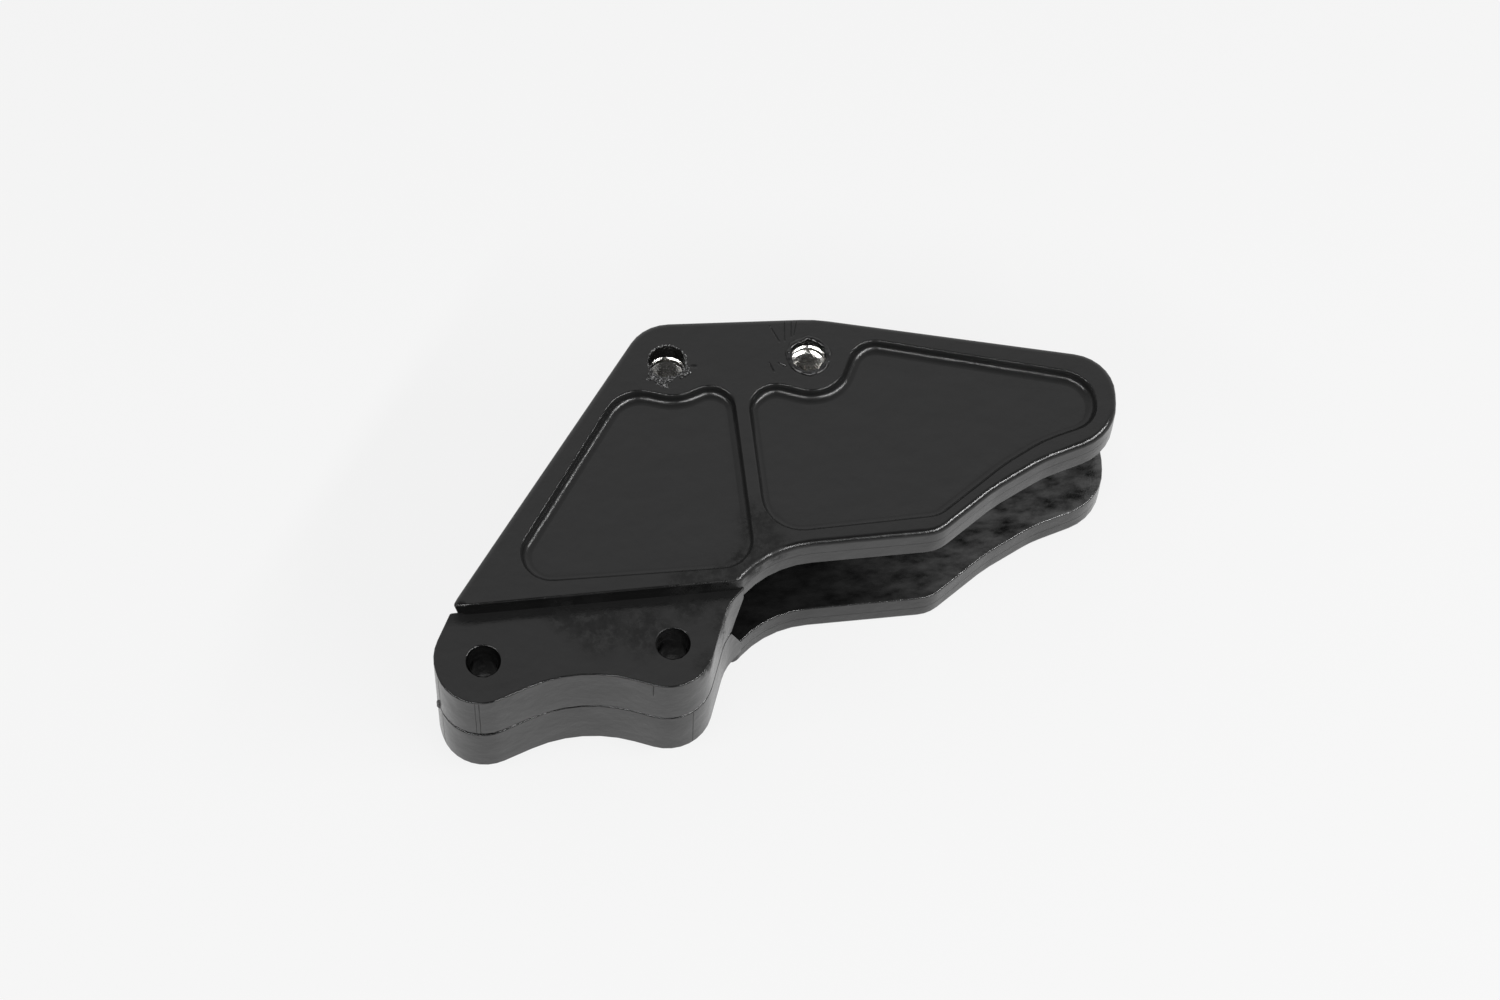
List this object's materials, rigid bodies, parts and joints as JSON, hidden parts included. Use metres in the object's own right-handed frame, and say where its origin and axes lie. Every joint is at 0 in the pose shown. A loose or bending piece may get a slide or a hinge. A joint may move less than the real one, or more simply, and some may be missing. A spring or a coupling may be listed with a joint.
{
  "type": "motorcycle chain guide",
  "caption": "Clamshell chain guide for a motorcycle swingarm: mirrored moulded half shells with recessed panels, an open chain channel, a stepped bolt tab and threaded inserts.",
  "frame": {"origin": "axis of the first tab bolt hole, on the parting plane between the two halves", "axes": "+X from the first tab bolt hole to the second, +Y from the tab towards the inserts, +Z out of the half that holds the inserts"},
  "size_m": [0.1513, 0.0862, 0.038],
  "materials": {
    "plastic": "black moulded plastic, satin with shiny edges",
    "insert_metal": "bright machined steel"
  },
  "bodies": {
    "root": {"upper_half": "plastic", "lower_half": "plastic", "insert_1": "insert_metal", "insert_2": "insert_metal"}
  },
  "joints": []
}
